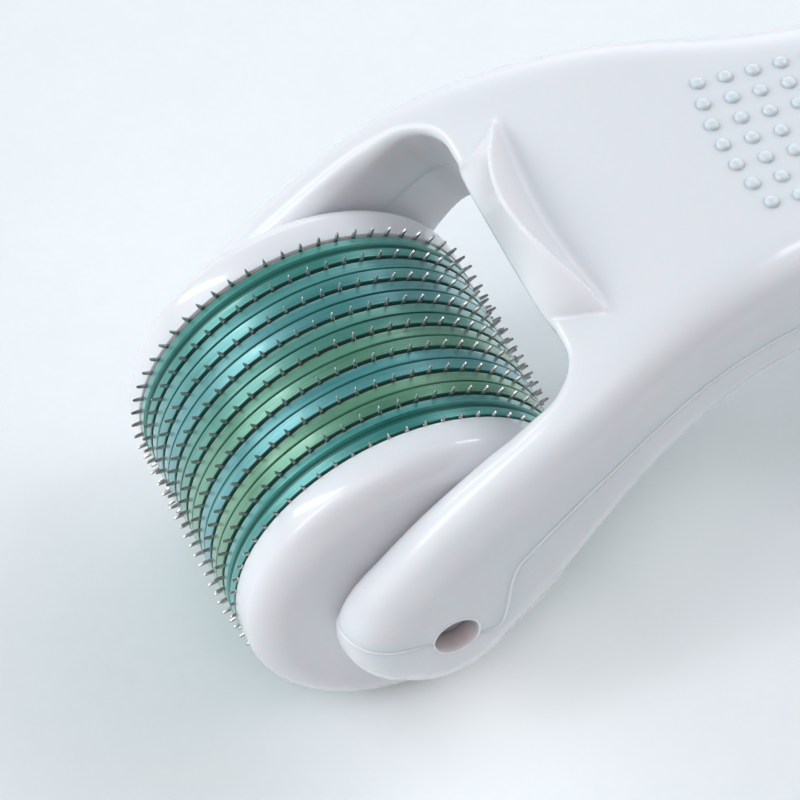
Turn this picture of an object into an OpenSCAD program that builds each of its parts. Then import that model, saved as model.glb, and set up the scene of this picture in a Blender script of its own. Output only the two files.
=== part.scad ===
// Derma roller: fork handle in two shells and a free-running drum that
// carries nine toothed needle discs between tinted spacer rings.
// Millimetres. Origin at the centre of the drum. The drum's axle lies
// along Y, +X points along the handle and +Z points up.

/* [Drum] */
// Outer radius of the spacer rings and end caps
drum_r = 10; // [8:0.5:10]
// Number of teeth on each needle disc
needle_count = 60; // [24:4:72]
// Length of the needles beyond the rings
needle_len = 0.5; // [0.2:0.1:0.6]
// Width of a needle at its root
needle_w = 0.32; // [0.2:0.02:0.4]
// Thickness of a needle disc
disc_t = 0.16; // [0.1:0.02:0.2]
// Distance from one needle disc to the next
pitch = 1.68; // [1.4:0.02:1.7]
// Height of a spacer ring's middle above its edges
ring_crown = 0.05; // [0:0.01:0.1]
// Width of the fine groove round a spacer ring
groove_w = 0.08; // [0.04:0.02:0.2]
// Width of the groove round the two outermost spacer rings
groove_wide = 0.44; // [0.1:0.02:0.5]

/* [End caps] */
// Outer face of the end caps, measured from the middle of the drum
cap_y = 9.6; // [9:0.1:9.6]
// Radial size of the cap's rounded rim
rim_r = 1.75; // [1:0.05:3]
// Axial size of the cap's rounded rim
rim_y = 1.4; // [0.8:0.05:1.6]
// Radius of the stub axles
axle_r = 1.2; // [1:0.05:1.4]
// End face of the stub axles, measured from the middle of the drum
axle_y = 12.3; // [11.5:0.1:13]
// Running clearance round a stub axle
axle_gap = 0.05; // [0.03:0.01:0.1]

/* [Fork and handle] */
// Distance from the middle to the inner face of each arm
arm_in = 9.85; // [9.8:0.05:10.5]
// Front edge of the throat between the arms
throat_x = 8.1; // [7:0.1:10]
// Lean of the throat's wall in degrees
throat_lean = 31; // [0:1:35]
// Wall thickness of the hollow handle
wall = 2; // [1.6:0.1:2.4]
// Gap left between the two shells
seam_gap = 0.02; // [0.01:0.01:0.1]

/* [Finger stop and grip] */
// Height of the crescent finger stop above the handle
stop_h = 2.45; // [1:0.05:3]
// Half the width of the crescent finger stop
stop_w = 7.15; // [5:0.05:7.5]
// Diameter of the raised grip dots
dot_d = 0.86; // [0.5:0.02:1.2]
// Distance between grip dots
dot_pitch = 1.5; // [1.3:0.1:2]
// Number of curved rows of grip dots
dot_rows = 9; // [3:1:12]

/* [Hidden] */

// Drum
disc_phase = [4.5, 2.85, 3.3, 2.75, 5.5, 1.85, 4.2, 1.5, 0.2]; // turn of each disc in degrees
disc_count = len(disc_phase);
fit = 0.01;                       // gap between stacked drum pieces
hub_r = 7;                        // radius of the keyed core
key_r = 7.6;                      // outer radius of its three keys
key_w = 2.2;                      // width of a key
key_fit = 0.02;                   // clearance round the keyed core
ring_t = pitch - disc_t - 2 * fit;
stack_y = (disc_count - 1) / 2 * pitch + disc_t / 2; // outer face of the end discs
tip_r = drum_r + needle_len;      // radius at the needle tips

// Fork and handle
bore_r = axle_r + axle_gap;       // axle holes in the arms
cut_w = 60;                       // Y length of cuts that pass right through
throat_z = 14.3;                  // height at which throat_x is measured
throat_corner_r = 2.6;
rest_x = 119;                     // middle of the flat under the butt

// Locating pegs, bosses and sockets
PEGS = [3.7, 5.2, 6.4, 7.4];      // places along the stations
boss_r = 2.4;
boss_inset = 1;                   // from a boss's end to the outer surface
peg_r = 1.2;
peg_len = 3.2;
peg_sink = 1;                     // depth of a peg's root below the centre line
socket_gap = 0.02;                // clearance round a peg

// Stations of the handle's centre line, from the tip of the arms to the butt:
// x, z, half thickness, half width, top edge radius, bottom edge radius.
STATIONS = [
    [-0.25, 0.3, 5.35, 13.45, 2.5, 2.8],
    [3, 3.75, 5.3, 13.35, 2.6, 3],
    [8.6, 8.85, 4.4, 13, 2.9, 2.9],
    [16, 11.1, 4.55, 10.9, 2.6, 3.2],
    [26, 10.5, 4.45, 8.75, 3, 3.5],
    [46, 7.4, 5.3, 8.3, 3.9, 4.3],
    [80, 1.9, 6.4, 9.8, 5, 5.4],
    [112, -3.7, 6.1, 8.9, 5, 5.2],
    [126, -5.9, 5, 5.9, 4.6, 4.6]
];
LAST = len(STATIONS) - 1;
// Columns of a station; X and Z also index [x, z] pairs.
X = 0;
Z = 1;
HALF_T = 2;
HALF_W = 3;
TOP_R = 4;
BOTTOM_R = 5;

function polar(r, angle) = r * [cos(angle), sin(angle)];

// ---- Centre line ----

// Smooth curve through the stations: spans use the chord lengths in x and z.
function chord(i) =
    let (step = STATIONS[i + 1] - STATIONS[i])
        norm([step[X], step[Z]]);
function span_slope(i) = (STATIONS[i + 1] - STATIONS[i]) / chord(i);
function slope(i) =
    i <= 0 ? span_slope(0) :
    i >= LAST ? span_slope(LAST - 1) :
    let (before = chord(i - 1), after = chord(i))
        (span_slope(i - 1) * after + span_slope(i) * before) / (before + after);

// Interpolated station at t, where whole numbers are the rows of the table.
function at(t) =
    let (i = min(floor(t), LAST - 1), u = t - i, span = chord(i))
        (2 * u ^ 3 - 3 * u ^ 2 + 1) * STATIONS[i]
        + (u ^ 3 - 2 * u ^ 2 + u) * span * slope(i)
        + (-2 * u ^ 3 + 3 * u ^ 2) * STATIONS[i + 1]
        + (u ^ 3 - u ^ 2) * span * slope(i + 1);

// Unit [x, z] direction of the centre line at t.
function heading(t) =
    let (step = at(min(t + 0.01, LAST)) - at(max(t - 0.01, 0)), flat = [step[X], step[Z]])
        flat / norm(flat);

// An [x, z] point moved by rise, square to the direction along.
function raised(point, along, rise) =
    [point[X] - rise * along[Z], point[Z] + rise * along[X]];

// Place along the stations at which the centre line reaches x, by bisection.
function place_of(x, low = 2, high = 8, depth = 0) =
    let (middle = (low + high) / 2)
        depth > 18 ? middle :
        at(middle)[X] < x ? place_of(x, middle, high, depth + 1) :
        place_of(x, low, middle, depth + 1);

// Height z of the handle's top surface at x and y.
function top_z(x, y) =
    let (place = place_of(x), here = at(place), r = here[TOP_R],
        past_flat = max(abs(y) - (here[HALF_W] - r), 0))
        here[Z] + (here[HALF_T] - r + sqrt(max(r ^ 2 - past_flat ^ 2, 0))) / heading(place)[X];

// ---- Skins ----

// Points of a quarter round that starts at the angle start.
function corner(centre, r, start, first, steps) =
    [for (i = [first:steps]) centre + polar(r, start + 90 * i / steps)];

// One cross-section, as [y, offset] pairs: a rectangle with rounded corners.
// w and h are half sizes, steps the number of steps in a quarter round.
function outline(w, h, top_r, bottom_r, steps) =
    let (top = min(top_r, h * 0.96), low = min(bottom_r, h * 0.96))
        concat(
            corner([w - top, h - top], top, 0, 0, steps),
            [for (i = [1:3]) [(w - top) * (1 - i / 2), h]],
            corner([top - w, h - top], top, 90, 1, steps),
            corner([low - w, low - h], low, 180, 0, steps),
            [for (i = [1:3]) [(w - low) * (i / 2 - 1), -h]],
            corner([w - low, low - h], low, 270, 1, steps));

// A cross-section placed in space: t is the place along the stations, over is
// the distance past an end and power the roundness of the tip.
function section(t, over = 0, inset = 0, steps = 5, power = 2) =
    let (here = at(t), along = heading(t), outward = t < 1 ? -1 : 1,
        full_h = here[HALF_T] - inset,
        h = full_h * (1 - min(over / full_h, 0.995) ^ power) ^ (1 / power),
        r = (here[TOP_R] + here[BOTTOM_R]) / 2,
        into_round = max(r - max(full_h - over, 0), 0),
        w = here[HALF_W] - inset - r + sqrt(r * r - into_round * into_round),
        middle = [here[X], here[Z]] + outward * over * along,
        top_r = max(here[TOP_R] - inset * 0.8, 0.6),
        bottom_r = max(here[BOTTOM_R] - inset * 0.8, 0.6))
        [for (p = outline(w, h, top_r, bottom_r, steps))
            let (q = raised(middle, along, p[1])) [q[X], p[0], q[Z]]];

// A closed skin over a list of cross-sections.
module skin(sections) {
    size = len(sections[0]);
    count = len(sections);
    polyhedron(
        points = [for (s = sections) each s],
        faces = [
            [for (j = [0:size - 1]) j],
            for (i = [0:count - 2], j = [0:size - 1])
                let (j2 = (j + 1) % size, here = i * size, next = here + size)
                    each [[here + j, next + j, next + j2], [here + j, next + j2, here + j2]],
            [for (j = [size - 1:-1:0]) (count - 1) * size + j]
        ]);
}

// ---- Fork and handle ----

// The whole outer form of the arms and handle, with rounded ends.
module envelope() {
    tip_steps = 7;
    front = STATIONS[0][HALF_T - 1 + 0 * LAST] * 0.995;
    butt = STATIONS[LAST][HALF_T] * 0.995;
    arm_tip = STATIONS[0][HALF_T] * 0.995;
    skin([
        for (i = [0:tip_steps - 1])
            section(0, over = arm_tip * cos(90 * i / tip_steps), power = 2.3),
        for (i = [0:4 * LAST]) section(i / 4),
        for (i = [1:tip_steps]) section(LAST, over = butt * sin(90 * i / tip_steps))
    ]);
}

// The hollow inside the handle.
module hollow() {
    start = 2.95;
    end = LAST - 0.05;
    steps = 16;
    skin([for (i = [0:steps])
        section(start + (end - start) * i / steps, inset = wall, steps = 3)]);
}

// The opening between the arms, with a leaning wall and rounded corners.
module throat() {
    r = throat_corner_r;
    translate([throat_x, 0, throat_z]) rotate([0, -throat_lean, 0])
        linear_extrude(height = 70, center = true) {
            translate([-60, -arm_in]) square([60 - r, 2 * arm_in]);
            translate([-30, -arm_in + r]) square([30, 2 * arm_in - 2 * r]);
            for (side = [-1, 1])
                translate([-r, side * (arm_in - r)]) circle(r = r, $fn = 48);
        }
}

// The throat and the axle holes.
module fork_cuts() {
    throat();
    rotate([90, 0, 0]) cylinder(r = bore_r, h = cut_w, center = true, $fn = 64);
}

// Side view of the line between the shells: level in front, falling through
// the axle's centre, a step up behind it, then along the centre line.
seam_front_x = -30;
seam_fall = 0.15; // fall per millimetre at the axle
// Columns: x, z, share of the offset that also moves the point towards -X.
SEAM_FRONT = [
    [seam_front_x, 9 * seam_fall, 0],
    [-9, 9 * seam_fall, 0],
    [2.8, -2.8 * seam_fall, 0],
    [3.05, 1.6, 1],
    [3.6, 3.2, 1]
];
function seam_pts(off) =
    let (start = 1.2, steps = 42, butt = at(LAST), along = heading(LAST), beyond = 12)
        concat(
            [for (p = SEAM_FRONT) [p[0] - p[2] * off, p[1] + off]],
            [for (i = [0:steps]) let (t = start + (LAST - start) * i / steps)
                raised(at(t), heading(t), off)],
            [[butt[X] + beyond * along[X], butt[Z] + beyond * along[Z] + off]]);

// All space on one side of the seam: side is 1 above it and -1 below it.
module beside_seam(side) {
    rotate([90, 0, 0]) linear_extrude(height = cut_w, center = true)
        polygon(concat(seam_pts(side * seam_gap / 2),
            [[150, side * 60], [seam_front_x, side * 60]]));
}

// The part of the children on one side of the seam, hollowed out.
module half_shell(side) {
    intersection() {
        difference() {
            union() children();
            hollow();
        }
        beside_seam(side);
    }
}

// Moves the children to the centre line at t, with their Z square to it.
module on_centre_line(t) {
    here = at(t);
    along = heading(t);
    translate([here[X], 0, here[Z]]) rotate([0, -atan2(along[Z], along[X]), 0]) children();
}

// One cross-section of the finger stop, from its front foot over the crest to
// its back foot. u runs from -1 to 1 across the handle.
function stop_section(u) =
    let (y = u * stop_w,
        foot_z = 11.4, // buried in the handle
        crest_x = 8.43 + 3.94 * u ^ 2 - 1.17 * u ^ 4,
        crest_z = 14.9 + 0.12 * u ^ 2 + stop_h * (1 - u ^ 2) ^ 1.05,
        front_x = throat_x - 0.12 + 3.15 * abs(u) ^ 6.5,
        back_x = 10.68 + 1.06 * u ^ 2 - 0.42 * u ^ 4,
        crest_w = 0.28 * (1 - u ^ 2) ^ 0.5 + 0.01)
        [
            [min(front_x + 1.7, back_x - 0.5), y, foot_z],
            [front_x, y, 14.2],
            [front_x + 0.2 * (crest_x - front_x), y, 14.6 + 0.55 * (crest_z - 14.6)],
            [crest_x - 0.55 * crest_w, y, crest_z - 0.45 * crest_w],
            [crest_x + 0.3 * crest_w, y, crest_z - 0.08 * crest_w],
            [crest_x + crest_w, y, crest_z - 0.6 * crest_w],
            [back_x - 0.4 * (back_x - crest_x - crest_w), y, 14.95 + 0.3 * (crest_z - 14.95)],
            [back_x + 0.08, y, 14.85],
            [back_x + 0.1, y, foot_z]
        ];

// Raised crescent along the front edge of the handle, as a low ridge with
// an upright front, a crest and a sloping back.
module finger_stop() {
    steps = 16;
    skin([for (i = [-steps:steps]) stop_section(0.985 * sin(90 * i / steps))]);
}

// Grip dots: curved rows that bulge towards the drum, less so row by row.
module grip_dots() {
    first_x = 21.35;
    row_pitch = 1.75;
    bulge = 0.033;
    sink = 0.12; // depth of a dot's centre below the surface
    for (row = [0:dot_rows - 1]) {
        count = row < 6 ? 7 : max(17 - 2 * row, 1);
        for (i = [0:count - 1]) {
            y = (i - (count - 1) / 2) * dot_pitch;
            x = first_x + row_pitch * row + bulge * y * y * (1 - row / dot_rows);
            translate([x, y, top_z(x, y) - sink]) sphere(d = dot_d, $fn = 24);
        }
    }
}

module upper_shell() color("whitesmoke") {
    difference() {
        half_shell(1) {
            envelope();
            finger_stop();
        }
        fork_cuts();
    }
    grip_dots();
    // sockets that take the locating pegs
    for (t = PEGS) on_centre_line(t) difference() {
        translate([0, 0, seam_gap])
            cylinder(r = boss_r, h = at(t)[HALF_T] - boss_inset, $fn = 48);
        translate([0, 0, -peg_sink]) cylinder(r = peg_r + socket_gap, h = 4, $fn = 48);
    }
}

module lower_shell() color("white") {
    difference() {
        half_shell(-1) envelope();
        fork_cuts();
        // flat patch on which the butt of the handle rests
        translate([rest_x, 0, -tip_r - 10]) cube([60, 30, 20], center = true);
    }
    // bosses with locating pegs
    for (t = PEGS) on_centre_line(t) {
        boss_len = at(t)[HALF_T] - boss_inset;
        translate([0, 0, -boss_len]) cylinder(r = boss_r, h = boss_len - seam_gap, $fn = 48);
        translate([0, 0, -peg_sink]) cylinder(r = peg_r, h = peg_len, $fn = 48);
    }
}

// ---- Drum ----

// Keyed section shared by the core and everything threaded on it.
module keyed(extra) {
    circle(r = hub_r + extra, $fn = 96);
    for (a = [0:120:240]) rotate(a)
        translate([0, -key_w / 2 - extra]) square([key_r + extra, key_w + 2 * extra]);
}

// Extrudes a flat outline along Y, from y0 to y0 + length.
module along_y(y0, length) {
    translate([0, y0 + length, 0]) rotate([90, 0, 0]) linear_extrude(height = length) children();
}

module drum_core() color("gainsboro") {
    half_len = stack_y - 0.1;
    web_t = 1.5;
    along_y(-half_len, 2 * half_len) difference() {
        keyed(0);
        circle(r = 5.2, $fn = 96);
    }
    // web across the middle of the tube
    along_y(-web_t / 2, web_t) difference() {
        circle(r = 6, $fn = 96);
        circle(r = 2, $fn = 48);
    }
}

// An end cap on the +Y side: rounded rim, face, spigot and stub axle.
module end_cap() {
    seat_y = stack_y + fit;  // inner face, against the end disc
    spigot_r = 4.8;          // spigot inside the core
    spigot_end = seat_y - 4.6;
    spigot_bevel = 0.2;
    edge_r = drum_r - 0.02;
    axle_bevel = 0.25;
    rim_steps = 14;
    face_steps = 4;
    rotate([-90, 0, 0]) rotate_extrude($fn = 128) polygon(concat(
        [
            [0, spigot_end],
            [spigot_r - spigot_bevel, spigot_end],
            [spigot_r, spigot_end + spigot_bevel],
            [spigot_r, seat_y],
            [edge_r - 0.04, seat_y],
            [edge_r, seat_y + 0.04]
        ],
        [for (i = [0:rim_steps]) let (t = 90 * i / rim_steps)
            [edge_r - rim_r + rim_r * cos(t) ^ 1.2, cap_y - rim_y + rim_y * sin(t) ^ 1.2]],
        [for (i = [1:face_steps]) let (u = i / face_steps)
            [(edge_r - rim_r) * (1 - u) + 2.2 * u, cap_y + 0.12 * u]],
        [
            [2, cap_y + 0.16],
            [axle_r + 0.3, cap_y + 0.17],
            [axle_r, cap_y + 0.3],
            [axle_r, axle_y - axle_bevel],
            [axle_r - axle_bevel, axle_y],
            [0, axle_y]
        ]));
}
module left_end_cap() color("white") end_cap();
module right_end_cap() color("white") mirror([0, 1, 0]) end_cap();

// Toothed disc k, counted from the +Y end. Its phase turns it against its neighbours.
module needle_disc(k) {
    root_r = drum_r - 0.28;
    step = 360 / needle_count;
    half = asin(needle_w / 2 / drum_r);
    root_half = half * 1.12;
    phase = disc_phase[k - 1];
    along_y(((disc_count + 1) / 2 - k) * pitch - disc_t / 2, disc_t) rotate(phase) difference() {
        polygon([for (i = [0:needle_count - 1]) let (a = i * step) each [
            polar(root_r, a - root_half),
            polar(drum_r, a - half),
            polar(tip_r, a),
            polar(drum_r, a + half),
            polar(root_r, a + root_half),
            polar(root_r, a + step / 2)]]);
        rotate(-phase) keyed(key_fit);
    }
}
module needle_disc_1() color("lightslategray") needle_disc(1);
module needle_disc_2() color("lightslategray") needle_disc(2);
module needle_disc_3() color("lightslategray") needle_disc(3);
module needle_disc_4() color("lightslategray") needle_disc(4);
module needle_disc_5() color("lightslategray") needle_disc(5);
module needle_disc_6() color("lightslategray") needle_disc(6);
module needle_disc_7() color("lightslategray") needle_disc(7);
module needle_disc_8() color("lightslategray") needle_disc(8);
module needle_disc_9() color("lightslategray") needle_disc(9);

// A spacer ring between discs k and k + 1, with a groove round its middle.
module spacer_ring(k) {
    y0 = (disc_count / 2 - k) * pitch;
    groove = (k == 1 || k == disc_count - 1) ? groove_wide : groove_w;
    floor_r = drum_r - 0.16; // bottom of the groove
    inner_r = 6.9;
    bevel = 0.05;
    half_t = ring_t / 2;
    edge_r = drum_r - ring_crown;
    difference() {
        translate([0, y0, 0]) rotate([-90, 0, 0]) rotate_extrude($fn = 128) polygon([
            [inner_r, -half_t], [edge_r - bevel, -half_t], [edge_r, -half_t + bevel],
            [drum_r, -groove / 2], [floor_r, -groove / 4],
            [floor_r, groove / 4], [drum_r, groove / 2],
            [edge_r, half_t - bevel], [edge_r - bevel, half_t], [inner_r, half_t]]);
        along_y(y0 - 2, 4) keyed(key_fit);
    }
}
module spacer_ring_1() color("lightseagreen") spacer_ring(1);
module spacer_ring_2() color("mediumturquoise") spacer_ring(2);
module spacer_ring_3() color("cadetblue") spacer_ring(3);
module spacer_ring_4() color("mediumaquamarine") spacer_ring(4);
module spacer_ring_5() color("mediumseagreen") spacer_ring(5);
module spacer_ring_6() color("cadetblue") spacer_ring(6);
module spacer_ring_7() color("seagreen") spacer_ring(7);
module spacer_ring_8() color("lightseagreen") spacer_ring(8);

upper_shell();
lower_shell();
drum_core();
left_end_cap();
right_end_cap();
needle_disc_1();
needle_disc_2();
needle_disc_3();
needle_disc_4();
needle_disc_5();
needle_disc_6();
needle_disc_7();
needle_disc_8();
needle_disc_9();
spacer_ring_1();
spacer_ring_2();
spacer_ring_3();
spacer_ring_4();
spacer_ring_5();
spacer_ring_6();
spacer_ring_7();
spacer_ring_8();
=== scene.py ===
import math

import bpy
import numpy as np
from mathutils import Matrix, Vector


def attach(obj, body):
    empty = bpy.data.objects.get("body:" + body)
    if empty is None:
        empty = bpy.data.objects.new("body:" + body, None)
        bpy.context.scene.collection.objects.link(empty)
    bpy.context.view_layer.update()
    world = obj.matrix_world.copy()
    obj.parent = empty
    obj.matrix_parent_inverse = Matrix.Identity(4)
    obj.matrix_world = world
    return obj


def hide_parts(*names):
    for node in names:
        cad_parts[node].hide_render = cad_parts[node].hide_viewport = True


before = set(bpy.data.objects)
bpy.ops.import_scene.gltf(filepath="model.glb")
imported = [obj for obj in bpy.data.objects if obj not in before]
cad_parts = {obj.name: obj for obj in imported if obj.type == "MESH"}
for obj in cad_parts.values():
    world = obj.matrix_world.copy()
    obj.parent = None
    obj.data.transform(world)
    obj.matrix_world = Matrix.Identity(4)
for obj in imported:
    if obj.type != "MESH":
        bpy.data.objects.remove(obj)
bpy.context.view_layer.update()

# Derma roller: a drum of needle discs and tinted rings, held in the fork of a
# two-part handle. The origin is the drum's centre, +X runs along the handle,
# +Y along the axle, +Z up. Shapes are in millimetres and become metres as
# meshes are made. Materials, floor light, lamps and camera are in metres.
MM = 0.001

# Drum
DRUM_R = 10.0
PITCH = 1.68                      # from one needle disc to the next
DISC_T = 0.16
FIT = 0.01                        # gap between neighbours along the axle
RING_T = PITCH - DISC_T - 2 * FIT
STACK = 4 * PITCH + DISC_T / 2    # half the length of the stack
NEEDLE_R = 10.5                   # radius at the needle tips
LAST_NEEDLE_R = 10.3              # the same on disc 9
AXLE_R, AXLE_END_Y = 1.2, 12.3
FLOOR_Z = -NEEDLE_R

# Fork
AXLE_HOLE_R = 1.25
ARM_MID_Y = 11.65                 # y inside an arm, where its edges are sought

# ---------------------------------------------------------------- middle line
# Handle stations: x and z of the middle line, half thickness, half width,
# top edge radius, bottom edge radius
STATIONS = np.array([
    [-0.25, 0.3, 5.35, 13.45, 2.5, 2.8],
    [3, 3.75, 5.3, 13.35, 2.6, 3],
    [8.6, 8.85, 4.4, 13, 2.9, 2.9],
    [16, 11.1, 4.55, 10.9, 2.6, 3.2],
    [26, 10.5, 4.45, 8.75, 3, 3.5],
    [46, 7.4, 5.3, 8.3, 3.9, 4.3],
    [80, 1.9, 6.4, 9.8, 5, 5.4],
    [112, -3.7, 6.1, 8.9, 5, 5.2],
    [126, -5.9, 5, 5.9, 4.6, 4.6]])
HALF_T, HALF_W, TOP_R, LOW_R = 2, 3, 4, 5    # columns
SPANS = len(STATIONS) - 1


def station_slopes():
    """Length of each span, and the change of each column per mm at each station."""
    chords = np.hypot(*np.diff(STATIONS, axis=0)[:, :2].T)
    rise = np.diff(STATIONS, axis=0) / chords[:, None]
    before, after = chords[:-1, None], chords[1:, None]
    middle = (rise[:-1] * after + rise[1:] * before) / (before + after)
    return chords, np.vstack([rise[:1], middle, rise[-1:]])


CHORDS, SLOPES = station_slopes()


def station(t):
    """All columns at station numbers t, on a smooth curve through the stations."""
    t = np.atleast_1d(np.asarray(t, float))
    i = np.minimum(np.floor(t).astype(int), SPANS - 1)
    u = (t - i)[:, None]
    chord = CHORDS[i][:, None]
    return ((2 * u**3 - 3 * u**2 + 1) * STATIONS[i]
            + (u**3 - 2 * u**2 + u) * chord * SLOPES[i]
            + (-2 * u**3 + 3 * u**2) * STATIONS[i + 1]
            + (u**3 - u**2) * chord * SLOPES[i + 1])


def tangents(line):
    """Unit tangents of a line in the side view."""
    steps = np.stack([np.gradient(line[:, 0]), np.gradient(line[:, 1])], 1)
    return steps / np.hypot(steps[:, 0], steps[:, 1])[:, None]


def arc_length(line):
    return np.r_[0, np.cumsum(np.hypot(*np.diff(line[:, :2], axis=0).T))]


MID_T = np.linspace(0, SPANS, 4001)
MID = station(MID_T)
MID_TANGENT = tangents(MID)
MID_ARC = arc_length(MID)


def section(along, column):
    """A station column at a distance along the middle line."""
    return np.interp(along, MID_ARC, MID[:, column])


# ---------------------------------------------------------------- joint line
# Side view (x, z) of the joint round the fork's end, up to the middle line
SEAM_HEAD = [(-9, 1.4), (1.3, -0.36), (2.3, -0.6), (2.72, -0.2), (3.0, 1.5),
             (3.2, 3.2), (3.52, 4.3)]
SEAM_JOINS_T = 1.2      # station number where it meets the middle line
SEAM_OVERRUN = 12
SEAM_STEP = 0.05
SMOOTH_REACH = 18       # points averaged on each side


def seam_line():
    """The line between the shells, with the corners of its step rounded a little."""
    run = station(np.linspace(SEAM_JOINS_T, SPANS, 1200))[:, :2]
    line = np.vstack([SEAM_HEAD, run, run[-1] + MID_TANGENT[-1] * SEAM_OVERRUN])
    length = arc_length(line)
    even = np.arange(0, length[-1], SEAM_STEP)
    kernel = np.exp(-np.linspace(-2.2, 2.2, 2 * SMOOTH_REACH + 1)**2)
    kernel /= kernel.sum()
    columns = []
    for i in (0, 1):
        column = np.pad(np.interp(even, length, line[:, i]), SMOOTH_REACH, mode="edge")
        columns.append(np.convolve(column, kernel, "valid"))
    return np.stack(columns, 1)


SEAM = seam_line()

# ---------------------------------------------------------------- side view tables
TABLE_X, TABLE_Z, TABLE_STEP = (-8.0, 134.0), (-14.0, 19.0), 0.1
SEAM_BAND = 0.4         # within this, distance is measured square to the joint


def nearest(line, x, z, stride=8, batch=20000):
    """Index of the line's point nearest each (x, z), by a coarse then a fine search."""
    found = np.empty(x.size, int)
    coarse = line[::stride]
    for first in range(0, x.size, batch):
        part = slice(first, first + batch)
        start = ((x[part, None] - coarse[:, 0])**2
                 + (z[part, None] - coarse[:, 1])**2).argmin(1) * stride
        best = np.full(start.shape, 1e18)
        best_i = start.copy()
        for shift in range(-stride, stride + 1):
            i = np.clip(start + shift, 0, len(line) - 1)
            gap = (x[part] - line[i, 0])**2 + (z[part] - line[i, 1])**2
            closer = gap < best
            best = np.where(closer, gap, best)
            best_i = np.where(closer, i, best_i)
        found[part] = best_i
    return found


def side_tables():
    """Distance along and across the middle line, and distance above the joint."""
    grid = np.meshgrid(np.arange(*TABLE_X, TABLE_STEP), np.arange(*TABLE_Z, TABLE_STEP),
                       indexing="ij")
    x, z = grid[0].ravel(), grid[1].ravel()

    def offsets(line, tangent):
        i = nearest(line, x, z)
        return i, x - line[i, 0], z - line[i, 1], tangent[i, 0], tangent[i, 1]

    i, dx, dz, tx, tz = offsets(MID[:, :2], MID_TANGENT)
    along = MID_ARC[i] + dx * tx + dz * tz
    across = -dx * tz + dz * tx
    i, dx, dz, tx, tz = offsets(SEAM, tangents(SEAM))
    square = -dx * tz + dz * tx
    above = np.sign(square) * np.maximum(np.hypot(dx, dz), 1e-9)
    above = np.where(np.abs(above) < SEAM_BAND, square, above)
    return [table.reshape(grid[0].shape) for table in (along, across, above)]


ALONG, ACROSS, ABOVE_SEAM = side_tables()


def lookup(table, x, z):
    """Bilinear reading of a side view table."""
    column = (x - TABLE_X[0]) / TABLE_STEP
    row = (z - TABLE_Z[0]) / TABLE_STEP
    i = np.clip(column.astype(int), 0, table.shape[0] - 2)
    k = np.clip(row.astype(int), 0, table.shape[1] - 2)
    u = column - i
    v = row - k
    return (table[i, k] * (1 - u) * (1 - v) + table[i + 1, k] * u * (1 - v)
            + table[i, k + 1] * (1 - u) * v + table[i + 1, k + 1] * u * v)


# ---------------------------------------------------------------- handle form
# Each form is a distance field, negative inside.
EDGE_POWER = 2.5        # roundness of the edge blends; 2 is circular
EDGE_CUT = 1.21         # keeps the same corner cut as a circular blend
NOSE_POWER, BUTT_POWER = 2.3, 2.0    # roundness of the two ends, seen from the side

# Opening between the arms: a point (x, z) on its sloping wall, the slope of
# that wall's normal, half width and corner radius
THROAT_X, THROAT_Z, THROAT_DEG = 8.1, 14.3, 31
THROAT_HALF_W, THROAT_R = 9.85, 2.6

# Crescent finger stop
STOP_HALF_W = 7.15
STOP_BASE_Z = 12.0
STOP_BACK_Z, STOP_FRONT_Z = 14.8, 14.0    # heights its faces are drawn from
STOP_FLARE = 3.35       # how far its front sweeps back at the ends

WALL = 2
HOLLOW_START = np.interp(2.95, MID_T, MID_ARC)

# Pegs: station numbers, then rows and tangents of the middle line there
PEG_T = (3.7, 5.2, 6.4, 7.4)
PEG_ROWS = station(PEG_T)
PEG_TANGENTS = [MID_TANGENT[np.abs(MID_T - t).argmin()] for t in PEG_T]
BOSS_R, SOCKET_R, PEG_R = 2.4, 1.22, 1.2
SOCKET_DEPTH, PEG_HEIGHT, PEG_ROOT = 2.4, 2.2, 1

LIP, LIP_REACH = 0.04, 1.1    # how far the lower shell stands proud along the joint
TUCK = 0.16             # how far the upper shell reaches behind that lip


def meet(first, second, radius, power=EDGE_POWER):
    """Intersection of two distances with a rounded edge."""
    first = first + radius
    second = second + radius
    return (np.minimum(np.maximum(first, second), 0)
            + (np.maximum(first, 0)**power + np.maximum(second, 0)**power)**(1 / power)
            - radius)


def join(first, second, radius):
    """Union of two distances with a circular fillet."""
    return -meet(-first, -second, radius, 2.0)


def envelope(x, y, z):
    """The handle without openings; also the distances along and across its middle line."""
    along = lookup(ALONG, x, z)
    across = lookup(ACROSS, x, z)
    edge = np.where(across > 0, section(along, TOP_R), section(along, LOW_R)) * EDGE_CUT
    past_end = np.where(along < 0, -along, np.maximum(along - MID_ARC[-1], 0))
    power = np.where(along < 0, NOSE_POWER, BUTT_POWER)
    off_middle = np.where(past_end > 0,
                          (np.abs(across)**power + past_end**power)**(1 / power),
                          np.abs(across))
    form = meet(off_middle - section(along, HALF_T), np.abs(y) - section(along, HALF_W), edge)
    return form, along, across


def throat(x, y, z):
    """The opening between the arms."""
    slope = np.radians(THROAT_DEG)
    wall = (x - THROAT_X) * np.cos(slope) + (z - THROAT_Z) * np.sin(slope)
    return meet(wall, np.abs(y) - THROAT_HALF_W, THROAT_R, 2.0)


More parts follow.
